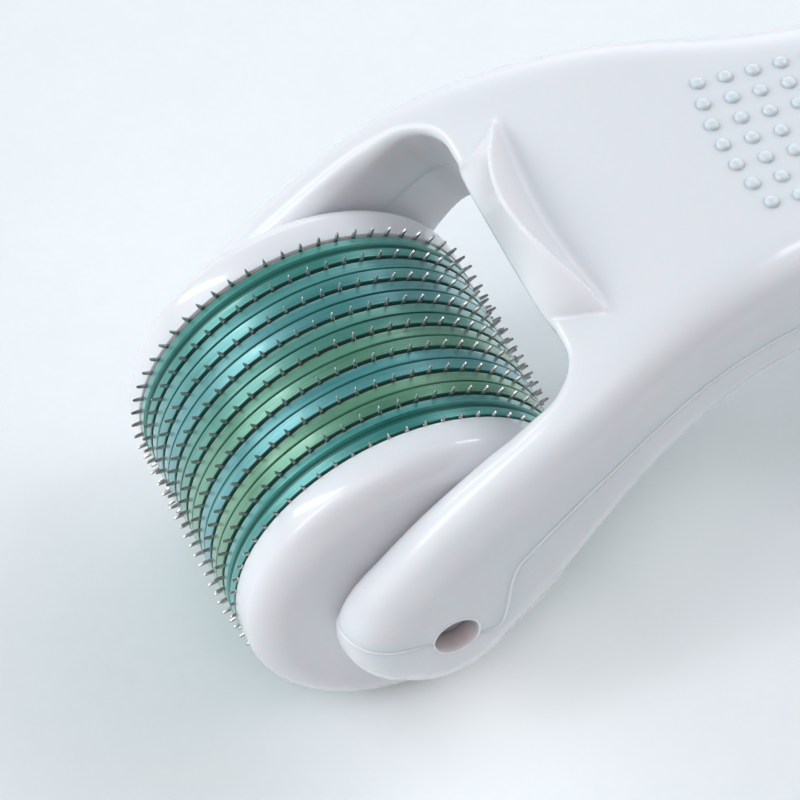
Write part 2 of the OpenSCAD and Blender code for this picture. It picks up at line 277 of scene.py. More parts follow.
def finger_stop(x, y, z):
    """Crescent finger stop, and the distance behind its crest."""
    u = np.clip(np.abs(y) / STOP_HALF_W, 0, 1)
    # across the width: the crest, the foot of the back and the foot of the front
    crest_x = 8.43 + 3.94 * u**2 - 1.17 * u**4
    crest_z = 14.9 + 0.12 * u**2 + 2.45 * (1 - u**2)**1.05
    back_x = 10.68 + 1.06 * u**2 - 0.42 * u**4
    front_x = 8.10 + STOP_FLARE * u**6
    sweep = STOP_FLARE * 6 * u**5 / STOP_HALF_W    # slope of the front in plan
    rise = crest_z - STOP_BACK_Z
    back = ((x - crest_x) * rise
            + (z - crest_z) * (back_x - crest_x)) / np.hypot(rise, back_x - crest_x)
    rise = crest_z - STOP_FRONT_Z
    front = ((-(x - crest_x) * rise + (z - crest_z) * (crest_x - front_x))
             / np.hypot(rise, crest_x - front_x) / np.sqrt(1 + sweep**2))
    form = meet(back, front, 0.22, 2.0)
    form = np.maximum(np.maximum(form, STOP_BASE_Z - z), np.abs(y) - STOP_HALF_W)
    return form, x - crest_x + 0.25


def outer(x, y, z, lip=0.0):
    """The form of fork and handle before hollowing, with distances along and across."""
    form, along, across = envelope(x, y, z)
    form = form - lip
    # the throat's edge is softer on the arms than at its back
    edge = 1.35 - 0.8 * np.clip((x - 4.5) / 3.0, 0, 1)
    beyond = -throat(x, y, z)
    form = np.where(x < 16, meet(form, beyond, edge, 2.2), form)
    near_stop = (x > 6) & (x < 14) & (z > 10)
    if near_stop.any():
        # the finger stop stands flush with the throat's wall, or a little proud of it
        stop, behind = finger_stop(x, y, z)
        stop = meet(stop, beyond - 0.06, 0.16, 2.0)
        fillet = 0.14 + 0.31 * np.clip(behind / 0.7, 0, 1)
        form = np.where(near_stop, join(form, stop, fillet), form)
    off_axle = np.hypot(x, z)
    form = np.where(off_axle < 4, meet(form, AXLE_HOLE_R - off_axle, 0.22, 2.0), form)
    return np.maximum(form, FLOOR_Z - z), along, across


def outer_form(x, y, z):
    return outer(x, y, z)[0]


def hollow(along, across, y):
    """The hollow inside the handle."""
    half_t = section(along, HALF_T) - WALL
    half_w = section(along, HALF_W) - WALL
    edge = np.minimum(section(along, TOP_R) * 0.8, half_t * 0.9)
    return np.maximum(meet(np.abs(across) - half_t, np.abs(y) - half_w, edge),
                      along - MID_ARC[-1])


def shell(x, y, z, upper):
    """One of the two shells, with its bosses and its pegs or sockets."""
    above = lookup(ABOVE_SEAM, x, z)
    lip = 0.0 if upper else LIP * np.exp(-(above / LIP_REACH)**2)
    form, along, across = outer(x, y, z, lip)
    form = np.maximum(form, -meet(hollow(along, across, y), HOLLOW_START - along, 1.0, 2.0))
    pegs = np.full_like(form, 9.0)
    for row, (tx, tz) in zip(PEG_ROWS, PEG_TANGENTS):
        dx, dz = x - row[0], z - row[1]
        height = -dx * tz + dz * tx
        radius = np.hypot(dx * tx + dz * tz, y)
        reach = row[HALF_T] - 1
        if upper:
            boss = np.maximum(radius - BOSS_R, np.maximum(-height, height - reach))
            socket = np.maximum(radius - SOCKET_R, height - SOCKET_DEPTH)
            boss = np.maximum(boss, -socket)
        else:
            boss = np.maximum(radius - BOSS_R, np.maximum(height, -reach - height))
            peg = np.maximum(radius - PEG_R,
                             np.maximum(height - PEG_HEIGHT, -PEG_ROOT - height))
            pegs = np.minimum(pegs, peg)
        form = np.minimum(form, boss)
    if upper:
        return np.maximum(form, -TUCK - above)
    return np.minimum(meet(form, above, 0.11, 2.0), pegs)


# ---------------------------------------------------------------- field to mesh
def unit(vectors, guard=0.0):
    return vectors / (np.linalg.norm(vectors, axis=1)[:, None] + guard)


def gradient(field, points, step):
    return np.stack([field(*(points + o).T) - field(*(points - o).T)
                     for o in np.eye(3) * step], 1)


def refine(field, start, end, f_start, f_end):
    """Surface points between grid points on either side of it, by false position."""
    low, high = np.zeros(len(start)), np.ones(len(start))
    f_low, f_high = f_start, f_end
    t = f_start / (f_start - f_end)
    for _ in range(3):
        t = np.clip(t, 0.001, 0.999)
        f_t = field(*(start + (end - start) * t[:, None]).T)
        same = (f_t < 0) == (f_start < 0)
        low, high = np.where(same, t, low), np.where(same, high, t)
        f_low, f_high = np.where(same, f_t, f_low), np.where(same, f_high, f_t)
        t = low + (high - low) * f_low / (f_low - f_high + 1e-12)
    return start + (end - start) * np.clip(t, 0, 1)[:, None]


def fit_vertices(points, normals, owner, count):
    """For each cell, the point that best fits the tangent planes of its crossings."""
    hits = np.bincount(owner, minlength=count).astype(float)
    centre = np.stack([np.bincount(owner, points[:, k], count) for k in range(3)], 1)
    centre /= hits[:, None]
    gap = (normals * (points - centre[owner])).sum(1)
    matrix = np.empty((count, 3, 3))
    for i in range(3):
        for j in range(i, 3):
            matrix[:, i, j] = matrix[:, j, i] = np.bincount(
                owner, normals[:, i] * normals[:, j], count)
    right = np.stack([np.bincount(owner, normals[:, k] * gap, count) for k in range(3)], 1)
    # a light pull to the centre keeps flat cells solvable
    matrix += np.eye(3) * 0.04 * hits[:, None, None]
    return centre + np.linalg.solve(matrix, right[:, :, None])[:, :, 0]


def contour(field, axes):
    """Vertices and quads of the closed surface field(x, y, z) = 0 on three sets
    of grid lines. The form mirrors about y = 0, and the first y line is the
    second one's negative."""
    xs, ys, zs = axes
    values = np.empty((len(xs), len(ys), len(zs)), np.float32)
    grid_x, grid_z = np.meshgrid(xs, zs, indexing="ij")
    for j, y in enumerate(ys):
        level = field(grid_x.ravel(), np.full(grid_x.size, y), grid_z.ravel())
        values[:, j, :] = level.reshape(grid_x.shape)
    inside = values < 0
    cells = np.array(values.shape) - 1

    def corner(index):
        return np.stack([line[i] for line, i in zip(axes, index.T)], 1)

    points, normals, owners, quads = [], [], [], []
    for axis in range(3):
        start = np.argwhere(np.diff(inside, axis=axis))
        end = start.copy()
        end[:, axis] += 1
        crossing = refine(field, corner(start), corner(end),
                          values[tuple(start.T)].astype(float),
                          values[tuple(end.T)].astype(float))
        normal = unit(gradient(field, crossing, 0.004), 1e-12)
        u, v = (axis + 1) % 3, (axis + 2) % 3
        ring = []
        for du, dv in ((-1, -1), (0, -1), (0, 0), (-1, 0)):
            cell = start.copy()
            cell[:, u] += du
            cell[:, v] += dv
            good = (cell >= 0).all(1) & (cell < cells).all(1)
            number = (cell[:, 0] * cells[1] + cell[:, 1]) * cells[2] + cell[:, 2]
            points.append(crossing[good])
            normals.append(normal[good])
            owners.append(number[good])
            ring.append(number)
        whole = ((start[:, u] > 0) & (start[:, v] > 0)
                 & (start[:, u] < cells[u]) & (start[:, v] < cells[v]))
        ring = np.stack(ring, 1)[whole]
        flip = ~inside[tuple(start.T)][whole]
        ring[flip] = ring[flip][:, ::-1]
        quads.append(ring)
    used, owner = np.unique(np.concatenate(owners), return_inverse=True)
    count = len(used)
    verts = fit_vertices(np.vstack(points), np.vstack(normals), owner, count)
    cell = np.stack(np.unravel_index(used, tuple(cells)), 1)
    verts = np.clip(verts, corner(cell), corner(cell + 1))
    verts[cell[:, 1] == 0, 1] = 0.0
    faces = np.searchsorted(used, np.vstack(quads))
    # mirror about y = 0, sharing the vertices on it
    twin = np.arange(count)
    off = np.flatnonzero(cell[:, 1] != 0)
    twin[off] = count + np.arange(len(off))
    return (np.vstack([verts, verts[off] * MIRROR_Y]),
            np.vstack([faces, twin[faces][:, ::-1]]))


def lines(*spans):
    """Grid lines from (start, end, step) spans."""
    runs = []
    for start, end, step in spans:
        count = max(int(round((end - start) / step)), 1)
        runs.append(start + (end - start) * np.arange(count) / count)
    runs.append([spans[-1][1]])
    return np.concatenate(runs)


# ---------------------------------------------------------------- mesh helpers
MIRROR_Y = np.array([1, -1, 1])


def make(name, verts, faces, body, mat, sharp, node=None):
    """A smooth mesh object from millimetre vertices, riding on a CAD body. Edges
    over sharp degrees stay crisp."""
    mesh = bpy.data.meshes.new(name)
    verts = np.asarray(verts, float) * MM
    if isinstance(faces, np.ndarray):
        corners = faces.shape[1]
        mesh.vertices.add(len(verts))
        mesh.vertices.foreach_set("co", verts.astype(np.float32).ravel())
        mesh.loops.add(faces.size)
        mesh.loops.foreach_set("vertex_index", faces.astype(np.int32).ravel())
        mesh.polygons.add(len(faces))
        mesh.polygons.foreach_set("loop_start",
                                  np.arange(0, faces.size, corners, dtype=np.int32))
        mesh.polygons.foreach_set("loop_total", np.full(len(faces), corners, np.int32))
    else:
        mesh.from_pydata(verts.tolist(), [], faces)
    mesh.update(calc_edges=True)
    mesh.validate()
    mesh.polygons.foreach_set("use_smooth", np.ones(len(mesh.polygons), bool))
    mesh.set_sharp_from_angle(angle=math.radians(sharp))
    mesh.materials.append(mat)
    ob = bpy.data.objects.new(name, mesh)
    bpy.context.scene.collection.objects.link(ob)
    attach(ob, body)
    if node:
        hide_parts(node)


def grid_faces(rows, n, closed_rows=True):
    """Quads over rows x n vertices, wrapping round n and, if asked, round the rows."""
    i, j = np.meshgrid(np.arange(rows if closed_rows else rows - 1), np.arange(n),
                       indexing="ij")
    next_i = (i + 1) % rows
    next_j = (j + 1) % n
    return np.stack([i * n + j, next_i * n + j, next_i * n + next_j, i * n + next_j],
                    -1).reshape(-1, 4)


def circle(n):
    return np.arange(n) * 2 * math.pi / n


def bisect(is_inside, low, high, rounds=36):
    """Narrow low (inside) and high (outside) on to the surface between them."""
    for _ in range(rounds):
        middle = (low + high) / 2
        inside = is_inside(middle)
        low, high = np.where(inside, middle, low), np.where(inside, high, middle)
    return low, high


# ---------------------------------------------------------------- node helpers
class Nodes:
    """A cleared node tree, with a short call for each kind of node used. Inputs
    are given by key, as values or as sockets to link from."""

    def __init__(self, owner):
        owner.use_nodes = True
        self.tree = owner.node_tree
        self.tree.nodes.clear()

    def set(self, node, inputs):
        for key, value in inputs.items():
            socket = node.inputs[key]
            if isinstance(value, bpy.types.NodeSocket):
                self.tree.links.new(value, socket)
            elif socket.type == "RGBA":
                socket.default_value = (*value, 1.0)
            else:
                socket.default_value = value

    def add(self, kind, inputs=None, **settings):
        node = self.tree.nodes.new("ShaderNode" + kind)
        for key, value in settings.items():
            setattr(node, key, value)
        self.set(node, inputs or {})
        return node

    def coords(self):
        return self.add("TexCoord").outputs["Object"]

    def split(self, vector):
        return self.add("SeparateXYZ", {0: vector}).outputs

    def combine(self, x, y, z):
        return self.add("CombineXYZ", {0: x, 1: y, 2: z}).outputs[0]

    def noise(self, vector, scale, detail=3.0, rough=0.5):
        return self.add("TexNoise", {"Scale": scale, "Detail": detail, "Roughness": rough,
                                     "Vector": vector}).outputs["Fac"]

    def remap(self, value, source, target=(0.0, 1.0)):
        """Carry a value from the source range to the target range, clamped."""
        return self.add("MapRange", {
            "Value": value, "From Min": source[0], "From Max": source[1],
            "To Min": target[0], "To Max": target[1]}).outputs["Result"]

    def math(self, operation, *values):
        return self.add("Math", dict(enumerate(values)), operation=operation).outputs[0]

    def sum_squares(self, a, b):
        return self.math("ADD", self.math("MULTIPLY", a, a), self.math("MULTIPLY", b, b))

    def mix(self, amount, base, over):
        return self.add("Mix", {0: amount, 6: base, 7: over}, data_type="RGBA").outputs[2]

    def bump(self, height, strength, dist, under=None):
        inputs = {"Strength": strength, "Distance": dist, "Height": height}
        if under is not None:
            inputs["Normal"] = under
        return self.add("Bump", inputs).outputs[0]


def new_material(name):
    mat = bpy.data.materials.new(name)
    nodes = Nodes(mat)
    out = nodes.add("OutputMaterial")
    bsdf = nodes.add("BsdfPrincipled")
    nodes.set(out, {"Surface": bsdf.outputs[0]})
    return mat, nodes, bsdf


def lin(*display):
    """Linear colour from 0-255 display values."""
    return tuple(c / 12.92 if c <= 0.04045 else ((c + 0.055) / 1.055)**2.4
                 for c in (value / 255 for value in display))


# ---------------------------------------------------------------- materials
def white_plastic(name, base, cool, rough, sss, hole_shade_colour=(0.5, 0.5, 0.5), shade=0.0):
    """Glossy moulded plastic: soft light in its edges, faint flow marks and a fine
    polish texture. By shade, it takes a painted shade colour in the axle holes and at
    the ends of the axles."""
    mat, nodes, bsdf = new_material(name)
    co = nodes.coords()
    flow = nodes.noise(co, scale=90.0, detail=2.0)
    ripple = nodes.noise(co, scale=700.0, rough=0.6)
    polish = nodes.noise(co, scale=9000.0, detail=2.0, rough=0.6)
    col = nodes.mix(nodes.remap(flow, (0.3, 0.7)), base, cool)
    x, y, z = nodes.split(co)
    off_axle = nodes.math("SQRT", nodes.sum_squares(x, z))
    # painted shade: the axle holes and the axle ends inside them take a darker colour
    recess_shade = nodes.math("MULTIPLY", nodes.remap(off_axle, (0.00126, 0.00134), (1.0, 0.0)),
                      nodes.remap(nodes.math("ABSOLUTE", y), (0.0100, 0.0102)))
    col = nodes.mix(nodes.math("MULTIPLY", recess_shade, shade), col, hole_shade_colour)
    relief = nodes.bump(flow, strength=0.25, dist=0.00012)
    relief = nodes.bump(ripple, strength=0.12, dist=0.00001, under=relief)
    relief = nodes.bump(polish, strength=0.10, dist=0.000002, under=relief)
    nodes.set(bsdf, {
        "Base Color": col,
        "Roughness": rough,
        "IOR": 1.49,
        "Subsurface Weight": sss,
        "Subsurface Radius": (1.0, 0.50, 0.45),
        "Subsurface Scale": 0.0015,
        "Coat Weight": 0.35,
        "Coat Roughness": 0.045,
        "Normal": relief})
    return mat


TINT_GAIN = (0.78, 0.85, 0.89)    # deepens the tints, in red, green and blue
# painted shade colour for the grooves and the slots between the rings
GROOVE_SHADE_COLOUR = lin(36, 92, 82)


def tint(name, dark, light, seed, streak):
    """Tinted plastic with a metallic sheen: colour drifts round the ring, with long
    moulding streaks and fine turning marks. Painted shade darkens the groove and side walls."""
    mat, nodes, bsdf = new_material(name)
    dark, light = (tuple(c * g for c, g in zip(colour, TINT_GAIN)) for colour in (dark, light))
    co = nodes.coords()
    x, y, z = nodes.split(co)
    angle = nodes.math("ARCTAN2", x, z)
    # long streaks: slow round the ring, quick across it
    around = nodes.combine(nodes.math("SINE", angle), nodes.math("MULTIPLY", y, 900.0),
                           nodes.math("COSINE", angle))
    around = nodes.add("VectorMath", {0: around, 1: (seed * 3.1, seed * 1.7, seed * 2.3)},
                       operation="ADD").outputs[0]
    streaks = nodes.noise(around, scale=2.2, rough=0.6)
    patches = nodes.noise(around, scale=0.9, detail=1.0, rough=0.4)
    # fine marks, short round the ring
    unrolled = nodes.combine(nodes.math("MULTIPLY", angle, 42.0),
                             nodes.math("MULTIPLY", y, 2600.0), seed)
    marks = nodes.noise(unrolled, scale=1.0, detail=4.0, rough=0.65)
    drift = nodes.math("ADD", nodes.math("MULTIPLY", streaks, streak),
                       nodes.math("MULTIPLY", patches, 1.0 - streak))
    col = nodes.mix(nodes.remap(drift, (0.32, 0.68)), dark, light)
    col = nodes.mix(nodes.remap(marks, (0.35, 0.75), (0.0, 0.30)), col, light)
    # very fine lines round the ring, dark and light
    unrolled = nodes.combine(nodes.math("MULTIPLY", angle, 1.6),
                             nodes.math("MULTIPLY", y, 15000.0), seed * 5.0)
    hairlines = nodes.noise(unrolled, scale=1.0, rough=0.7)
    col = nodes.mix(nodes.remap(hairlines, (0.30, 0.48), (0.62, 0.0)), col,
                    tuple(c * 0.45 for c in dark))
    col = nodes.mix(nodes.remap(hairlines, (0.53, 0.70), (0.0, 0.50)), col,
                    tuple(min(1.0, c * 1.5) for c in light))
    # painted shade: dark colour inside the groove and down the side walls
    off_axle = nodes.math("SQRT", nodes.sum_squares(x, z))
    recess_shade = nodes.remap(off_axle, (0.00984, 0.00991), (1.0, 0.0))
    col = nodes.mix(nodes.math("MULTIPLY", recess_shade, 0.85), col, GROOVE_SHADE_COLOUR)
    nodes.set(bsdf, {
        "Base Color": col,
        "Roughness": nodes.remap(hairlines, (0.3, 0.7), (0.36, 0.25)),
        "IOR": 1.5,
        "Metallic": nodes.remap(recess_shade, (0.0, 1.0), (0.42, 0.0)),
        "Subsurface Weight": 0.25,
        "Subsurface Radius": (0.35, 1.0, 0.9),
        "Subsurface Scale": 0.0004,
        "Coat Weight": nodes.remap(recess_shade, (0.0, 1.0), (1.0, 0.1)),
        "Coat Roughness": 0.16,
        "Coat IOR": 1.5,
        "Normal": nodes.bump(marks, strength=0.12, dist=0.00001, under=nodes.bump(
            hairlines, strength=0.45, dist=0.000008))})
    return mat


def steel(name):
    """Thin steel: warm grey with a fine grain and broad darker patches."""
    mat, nodes, bsdf = new_material(name)
    co = nodes.coords()
    grain = nodes.noise(co, scale=2600.0, detail=4.0, rough=0.65)
    patches = nodes.noise(co, scale=260.0, detail=2.0)
    col = nodes.mix(nodes.remap(grain, (0.3, 0.7)), lin(150, 146, 142), lin(205, 202, 198))
    col = nodes.mix(nodes.remap(patches, (0.35, 0.7), (0.0, 0.5)), col, lin(160, 155, 150))
    nodes.set(bsdf, {
        "Base Color": col,
        "Metallic": 0.85,
        "Roughness": nodes.remap(grain, (0.3, 0.7), (0.20, 0.265)),
        "Normal": nodes.bump(grain, strength=0.25, dist=0.000006)})
    return mat


# painted shade in the axle holes: pinkish on the hole walls, grey-blue on the axle ends
HANDLE = white_plastic("handle_plastic", base=(0.80, 0.80, 0.825), cool=(0.785, 0.795, 0.82),
                       rough=0.22, sss=0.45, hole_shade_colour=(0.80, 0.66, 0.64), shade=0.55)
CAP = white_plastic("cap_plastic", base=(0.81, 0.80, 0.825), cool=(0.795, 0.79, 0.82),
                    rough=0.12, sss=0.45, hole_shade_colour=(0.36, 0.39, 0.47), shade=0.75)
# whiter than the handle: a painted highlight along the seam bead and the lip round the axle
# holes
BEAD = white_plastic("bead_plastic_painted_highlight", base=(0.93, 0.93, 0.94), cool=(0.92, 0.925, 0.935),
                     rough=0.21, sss=0.05)
CORE = white_plastic("core_plastic", base=(0.74, 0.78, 0.78), cool=(0.70, 0.76, 0.76),
                     rough=0.35, sss=0.30)
STEEL = steel("needle_steel")

# Spacer rings 1 to 8: kind, dark colour, light colour, share of long streaks
TINTS = (
    ("teal", lin(66, 146, 134), lin(108, 182, 170), 0.35),
    ("teal", lin(72, 148, 142), lin(116, 184, 178), 0.45),
    ("blue", lin(74, 148, 146), lin(122, 186, 184), 0.40),
    ("teal", lin(72, 144, 128), lin(118, 180, 164), 0.45),
    ("green", lin(84, 148, 122), lin(130, 182, 152), 0.40),
    ("blue", lin(72, 152, 152), lin(126, 192, 190), 0.45),
    ("green", lin(84, 146, 116), lin(132, 180, 146), 0.40),
    ("teal", lin(62, 146, 138), lin(112, 188, 178), 0.35),
)

# ---------------------------------------------------------------- handle shells
# Grid lines in x, y and z, closer round the axle hole and the finger stop
SHELL_GRID = (
    lines((-7, -2.2, .22), (-2.2, 2.2, .12), (2.2, 7, .20), (7, 13, .13), (13, 21, .25),
          (21, 132.5, .6)),
    np.r_[-0.1, lines((0.1, 7.6, .2), (7.6, 14.1, .2))],
    lines((-12, -2.2, .3), (-2.2, 2.2, .15), (2.2, 12, .25), (12, 18.2, .15)))


def build_shells():
    for node, upper, sharp in (("upper_shell", True, 38.0), ("lower_shell", False, 62.0)):
        verts, faces = contour(lambda x, y, z: shell(x, y, z, upper), SHELL_GRID)
        make(node + "_form", verts, faces, "handle", HANDLE, sharp, node)


# ---------------------------------------------------------------- seam bead
BEAD_HALF_W, BEAD_HALF_H, BEAD_LIFT = 0.105, 0.035, 0.012
BEAD_SIDES = 10
BEAD_GAP_R = 1.50       # the bead stops this far from the axle
HOLE_LIP_R = 1.36
HOLE_LIP_SEEK_R = 1.40  # where the surface under the hole lip is found
HOLE_LIP_HALF_W, HOLE_LIP_HALF_H, HOLE_LIP_SINK = 0.085, 0.065, 0.045


def seam_path():
    """Where the joint meets the surface on the +Y side, from inside the arm, round
    the fork's end and along the side to the middle of the butt."""
    arc = arc_length(SEAM)

    def place(s, y):
        return np.interp(s, arc, SEAM[:, 0]), y + 0 * s, np.interp(s, arc, SEAM[:, 1])

    def edge(s, y, ds, dy, far):
        """Walk in the joint's face from inside points (s, y) to the surface."""
        reach = bisect(lambda m: outer_form(*place(s + ds * m, y + dy * m)) < 0,
                       np.zeros_like(s), np.full_like(s, far))[0]
        return s + ds * reach, y + dy * reach

    below_axle = arc[np.abs(SEAM[:, 0]).argmin()]
    tip = edge(np.array([below_axle - 2.0]), ARM_MID_Y, -1, 0, 8.0)[0][0] + 2.4
    butt = edge(np.array([arc[-1] - 20.0]), 0, 1, 0, 20.0)[0][0] - 5.0
    turn = np.radians(np.linspace(262, 92, 40))
    head = edge(np.full_like(turn, tip), ARM_MID_Y, np.cos(turn), np.sin(turn), 5.0)
    s = np.r_[np.arange(tip, tip + 26, 0.22), np.arange(tip + 26, butt, 0.9)]
    start_y = np.where(np.interp(s, arc, SEAM[:, 0]) < 13.5, 10.7, 5.0)
    side = edge(s, start_y, 0, 1, 9.0)
    turn = np.radians(np.linspace(88, 0, 24))
    end = edge(np.full_like(turn, butt), 0, np.cos(turn), np.sin(turn), 15.0)
    return np.stack(place(*(np.concatenate(v) for v in zip(head, side, end))), 1)


def bead_grid(path):
    """Rings of a low oval bead along a path on the surface, thinning at both ends."""
    along = unit(np.gradient(path, axis=0))
    normal = gradient(outer_form, path, 0.02)
    normal -= (normal * along).sum(1)[:, None] * along
    normal = unit(normal)
    side = np.cross(along, normal)[:, None]
    normal = normal[:, None]
    turn = circle(BEAD_SIDES)[None, :, None]
    i = np.arange(len(path))
    taper = np.minimum(np.minimum(i, i[::-1]) / 4.0 + 0.15, 1.0)[:, None, None]
    return (path[:, None] + normal * BEAD_LIFT
            + taper * (normal * BEAD_HALF_H * np.sin(turn) + side * BEAD_HALF_W * np.cos(turn)))


def hole_lip_grid(side):
    """Rings of the fine lip round the axle hole on the side y = +1 or -1."""
    around, turn = circle(64), circle(BEAD_SIDES)
    x, z = HOLE_LIP_SEEK_R * np.cos(around), -HOLE_LIP_SEEK_R * np.sin(around)
    surface_y = bisect(lambda m: envelope(x, m, z)[0] < 0,
                       np.full(64, ARM_MID_Y), np.full(64, 15.0))[0]
    radius = HOLE_LIP_R + HOLE_LIP_HALF_W * np.cos(turn)[None, :]
    y = (surface_y - HOLE_LIP_SINK)[:, None] + HOLE_LIP_HALF_H * np.sin(turn)[None, :]
    return np.stack([radius * np.cos(around)[:, None], side * y,
                     -radius * np.sin(around)[:, None]], -1)


def add_tube(verts, faces, grid, capped):
    """Append a grid of rings, facing outwards, with end caps or closed in a loop."""
    rows, n = grid.shape[:2]
    flat = grid.reshape(-1, 3)
    quads = grid_faces(rows, n, not capped)
    corner, next_row, _, next_side = flat[quads[5 * n]]
    facing = np.dot(np.cross(next_row - corner, next_side - corner),
                    corner - grid[5].mean(0))
    polygons = quads.tolist()
    if capped:
        polygons += [list(range(n))[::-1], list(range((rows - 1) * n, rows * n))]
    base = len(verts)
    for polygon in polygons:
        faces.append([base + i for i in (polygon[::-1] if facing < 0 else polygon)])
    verts.extend(flat)


def build_seam_bead():
    """The joint shows outside as a low soft bead, broken at the axle holes."""
    path = seam_path()
    gap = np.flatnonzero(np.hypot(path[:, 0], path[:, 2]) < BEAD_GAP_R)
    first, last = gap[[0, -1]]
    mirrored = path[::-1][1:] * MIRROR_Y
    around = np.vstack([path[last + 1:], mirrored[:len(path) - last - 2]])
    verts, faces = [], []
    for run in (path[:first], path[:first] * MIRROR_Y, around):
        add_tube(verts, faces, bead_grid(run), capped=True)
    for side in (1, -1):
        add_tube(verts, faces, hole_lip_grid(side), capped=False)
    make("seam_bead", verts, faces, "handle", BEAD, 60.0)


# ---------------------------------------------------------------- grip dots
DOT_ROWS, DOT_SIDES = 9, 28
DOT_FIRST_X, DOT_ROW_PITCH, DOT_PITCH = 21.35, 1.75, 1.5
DOT_BOW = 0.033         # how much the first row bows back at its ends
# Flared skirt of a dot: radius, height
DOT_SKIRT = [(0.50, -0.03), (0.455, 0.002), (0.425, 0.012), (0.405, 0.035)]


def top_of(x, y):
    """Height of the handle's top surface."""
    low, high = bisect(lambda z: outer_form(x, y, z) < 0,
                       np.full_like(x, 8.0), np.full_like(x, 18.0), rounds=40)
    return (low + high) / 2


def build_dots():
    """Small domes with flared skirts, seated on the handle's top."""
    spots = []
    for row in range(DOT_ROWS):
        count = min(7, 17 - 2 * row)
        for i in range(count):
            y = (i - (count - 1) / 2) * DOT_PITCH
            bow = DOT_BOW * y * y * (1 - row / DOT_ROWS)
            spots.append((DOT_FIRST_X + DOT_ROW_PITCH * row + bow, y))
    x, y = np.array(spots).T
    step = 0.02
    slope_x = (top_of(x + step, y) - top_of(x - step, y)) / (2 * step)
    slope_y = (top_of(x, y + step) - top_of(x, y - step)) / (2 * step)
    normals = unit(np.stack([-slope_x, -slope_y, np.ones_like(x)], 1))

    profile = list(DOT_SKIRT)
    for k in range(1, 10):
        a = math.radians(8 + 82 * k / 9)
        profile.append((0.40 * math.cos(a)**0.9 if k < 9 else 0.012,
                        0.02 + 0.235 * math.sin(a)))
    radius, height = np.array(profile).T[:, :, None, None]
    turn = circle(DOT_SIDES)[None, :, None]
    size = len(profile) * DOT_SIDES
    dot_faces = np.roll(grid_faces(len(profile), DOT_SIDES, False)[:, ::-1], 1, axis=1).tolist()
    dot_faces += [list(range(size - DOT_SIDES, size)), list(range(DOT_SIDES))[::-1]]

    verts, faces = [], []
    for centre, normal in zip(np.stack([x, y, top_of(x, y)], 1), normals):
        ahead = np.cross([0, 1, 0], normal)
        ahead /= np.linalg.norm(ahead)
        side = np.cross(normal, ahead)
        base = len(verts)
        dome = (centre + ahead * radius * np.cos(turn) + side * radius * np.sin(turn)
                + normal * height)
        verts.extend(dome.reshape(-1, 3))
        faces.extend([base + i for i in face] for face in dot_faces)
    make("grip_dot_field", verts, faces, "handle", HANDLE, 60.0)


# ---------------------------------------------------------------- drum
# Bore with three keyways, at 0, 120 and 240 degrees
BORE_R, KEY_R, KEY_HALF_W, BORE_FIT = 7.0, 7.6, 1.12, 0.02


def bore(angles):
    """Radius of the keyed bore at each angle."""
    radius = np.full_like(angles, BORE_R + BORE_FIT)
    half_angle = math.asin(KEY_HALF_W / ((BORE_R + KEY_R) / 2))
    for key in (0, 2 * math.pi / 3, 4 * math.pi / 3):
        off = np.abs((angles - key + math.pi) % (2 * math.pi) - math.pi)
        radius = np.where(off < half_angle, KEY_R + BORE_FIT, radius)
    return radius


def turned(node, rows, mat, sharp):
    """Drum part from a closed loop of rows round the axle, each (angles, radii, y)."""
    n = len(rows[0][0])
    verts = np.concatenate([
        np.stack([radii * np.cos(angles), np.full(n, y), -radii * np.sin(angles)], 1)
        for angles, radii, y in rows])
    faces = grid_faces(len(rows), n)
    a, b, c = verts[faces][:, :3].transpose(1, 0, 2)
    # a negative volume means the faces point inwards
    if np.einsum("ij,ij->i", a, np.cross(b - a, verts[faces[:, 2]] - a)).sum() < 0:
        faces = faces[:, ::-1].copy()
    make(node + "_form", verts, faces, "drum", mat, sharp, node)


def profile_rows(profile, n):
    """Rows from (radius, y) points. A radius of None takes the keyed bore."""
    angles = circle(n)
    return [(angles, bore(angles) if radius is None else radius, y) for radius, y in profile]


def ring_profile(number):
    """Section of a spacer ring about its own middle: a crowned rim with a groove,
    which is wider and deeper on the two end rings."""
    groove_w, groove_depth = (0.46, 0.26) if number in (1, 8) else (0.13, 0.22)
    half_t = RING_T / 2
    edge = half_t - 0.045
    crown = 0.05                  # rise from the rim's edges to the groove
    corner = 0.03
    low = DRUM_R - crown
    half = [(None, half_t), (DRUM_R - 0.46, half_t), (DRUM_R - 0.43, edge)]
    for degrees in (0, 30, 60, 90):
        a = math.radians(degrees)
        half.append((low - corner + corner * math.sin(a), edge - corner + corner * math.cos(a)))
    for s in np.linspace(0, 1, 7)[1:]:
        y = (edge - corner) + (groove_w / 2 + 0.02 - edge + corner) * s
        half.append((low + crown * (1 - (1 - s)**1.25), y))
    half += [(DRUM_R - 0.012, groove_w / 2 + 0.004), (DRUM_R - 0.05, groove_w / 2 - 0.012),
             (DRUM_R - groove_depth * 0.7, groove_w / 4 + 0.012),
             (DRUM_R - groove_depth, groove_w / 4 * 0.6)]
    return half + [(radius, -y) for radius, y in reversed(half)]


def build_rings():
    for k, (kind, dark, light, streak) in enumerate(TINTS, 1):
        middle = (4.5 - k) * PITCH
        profile = [(radius, middle + y) for radius, y in ring_profile(k)]
        mat = tint("%s_tint_%d" % (kind, k), dark, light, seed=float(k), streak=streak)
        turned("spacer_ring_%d" % k, profile_rows(profile, 288), mat, 32.0)


RIM_R, RIM_RISE = 1.75, 1.4       # radial and axial size of the cap's rounded rim
CAP_R = DRUM_R - 0.02
CAP_Y = 9.6                       # y at the top of the rim
SPIGOT_R, SPIGOT_LENGTH = 4.8, 4.6
FACE_INNER_R, FACE_RISE = 2.2, 0.12    # the face rises a little towards the axle
PIN_R = 0.02                      # keeps the section clear of the axis


